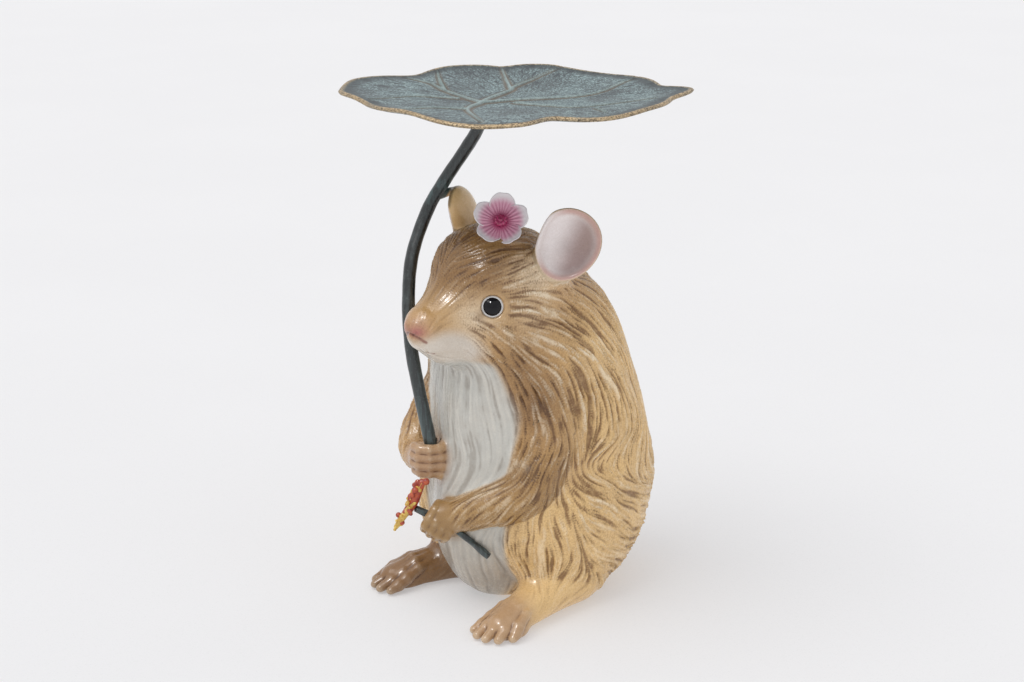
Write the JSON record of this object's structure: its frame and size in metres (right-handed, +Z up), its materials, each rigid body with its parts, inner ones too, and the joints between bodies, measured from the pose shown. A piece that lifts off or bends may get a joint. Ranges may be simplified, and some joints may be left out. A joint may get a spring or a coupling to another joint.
{
  "type": "garden mouse figure holding a leaf tray",
  "caption": "Seated cast-metal mouse figure that holds a shallow lily-pad leaf up on a bowed stem as a small accent table.",
  "frame": {"origin": "middle of the torso's flat base, on the floor", "axes": "+Z up, the mouse faces -Y, its left side is +X"},
  "size_m": [0.3012, 0.3124, 0.497],
  "materials": {
    "fur_paint": "hand-painted tan and brown enamel over cast aluminium, semi-gloss, carved fur",
    "paw_paint": "hand-painted brown and pink enamel over cast aluminium, semi-gloss",
    "ear_paint": "hand-painted pink and tan enamel over cast aluminium, semi-gloss",
    "eye_gloss": "black high-gloss enamel with a white rim on a cast ball",
    "leaf_patina": "blue-green verdigris paint, bronze worn edges, satin",
    "stem_patina": "blackish green patina paint, satin",
    "petal_paint": "white to pink hand-painted enamel, semi-gloss",
    "petal_heart_paint": "magenta enamel, semi-gloss",
    "red_paint": "orange-red enamel, semi-gloss",
    "yellow_paint": "yellow enamel, semi-gloss",
    "cast_metal": "bare metal, hidden inside"
  },
  "bodies": {
    "root": {"torso_shell": "fur_paint", "head_shell": "fur_paint", "neck_sleeve": "cast_metal", "left_ear": "ear_paint", "right_ear": "ear_paint", "left_eye": "eye_gloss", "right_eye": "eye_gloss", "left_arm": "fur_paint", "left_arm_dowel": "cast_metal", "right_arm": "fur_paint", "right_arm_dowel": "cast_metal", "left_hind_foot": "paw_paint", "left_foot_dowel": "cast_metal", "right_hind_foot": "paw_paint", "right_foot_dowel": "cast_metal", "tail": "paw_paint", "tail_dowel": "cast_metal", "leaf_stem": "stem_patina", "leaf_tray": "leaf_patina", "leaf_boss": "leaf_patina", "boss_lock_screw": "cast_metal", "blossom_petals": "petal_paint", "blossom_centre": "petal_heart_paint", "blossom_pin": "cast_metal", "sprig_twig": "stem_patina", "sprig_red_blossom": "red_paint", "sprig_yellow_blossom": "yellow_paint"}
  },
  "joints": []
}
